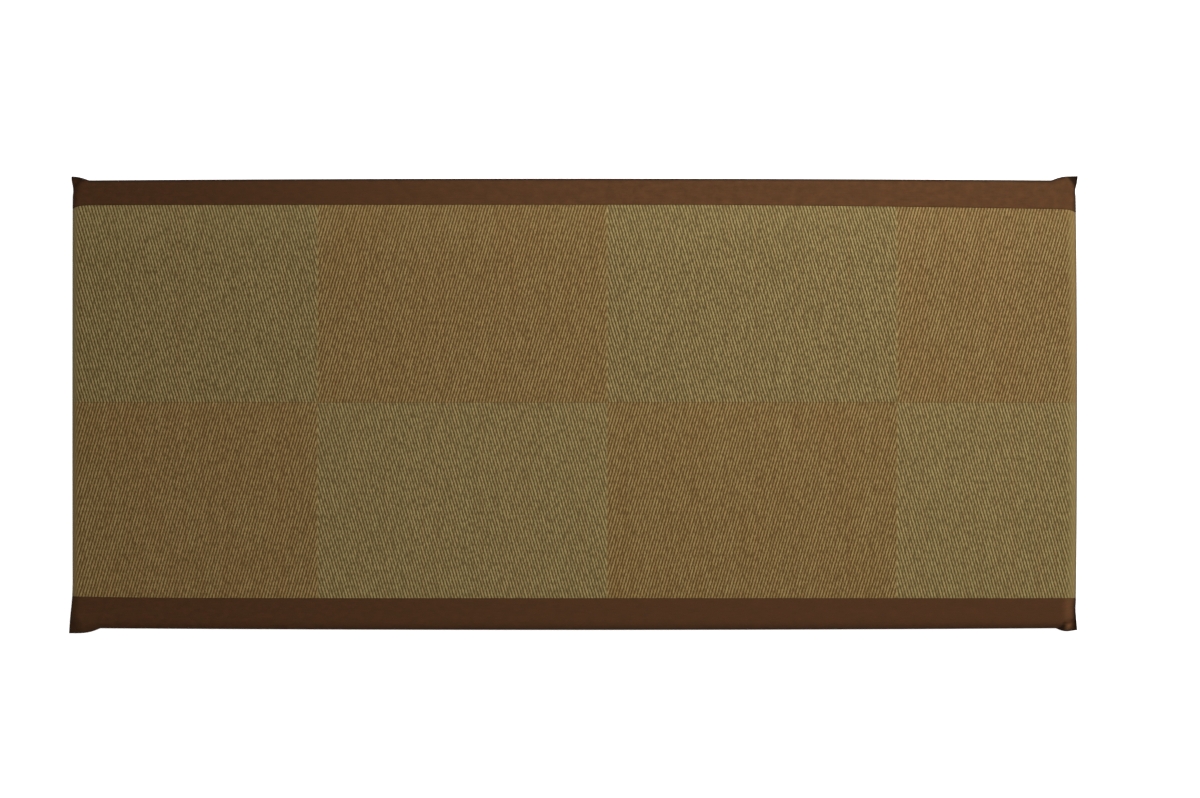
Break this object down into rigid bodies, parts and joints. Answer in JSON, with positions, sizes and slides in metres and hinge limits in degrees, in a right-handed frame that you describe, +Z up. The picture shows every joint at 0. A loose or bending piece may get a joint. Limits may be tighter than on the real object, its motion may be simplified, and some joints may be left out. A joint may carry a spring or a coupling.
{
  "type": "tatami mattress",
  "caption": "Flat padded floor mat: woven rush top in large twill checks, brown cloth borders along both long sides, and pointed cover corners.",
  "frame": {"origin": "centre of the footprint, on the surface that the mat lies on", "axes": "+X along the mat, to the right in the picture; +Y across it, to the picture's top; +Z up"},
  "size_m": [1.999, 0.9046, 0.025],
  "materials": {
    "base_cloth": "plain dark brown cotton cloth",
    "rush": "woven rush in steep twill, green-tan and brown-tan checks",
    "border_cloth": "plain brown cotton cloth with a soft sheen"
  },
  "bodies": {
    "root": {"padded_base": "base_cloth", "rush_panel": "rush", "border_far": "border_cloth", "border_near": "border_cloth"}
  },
  "joints": []
}
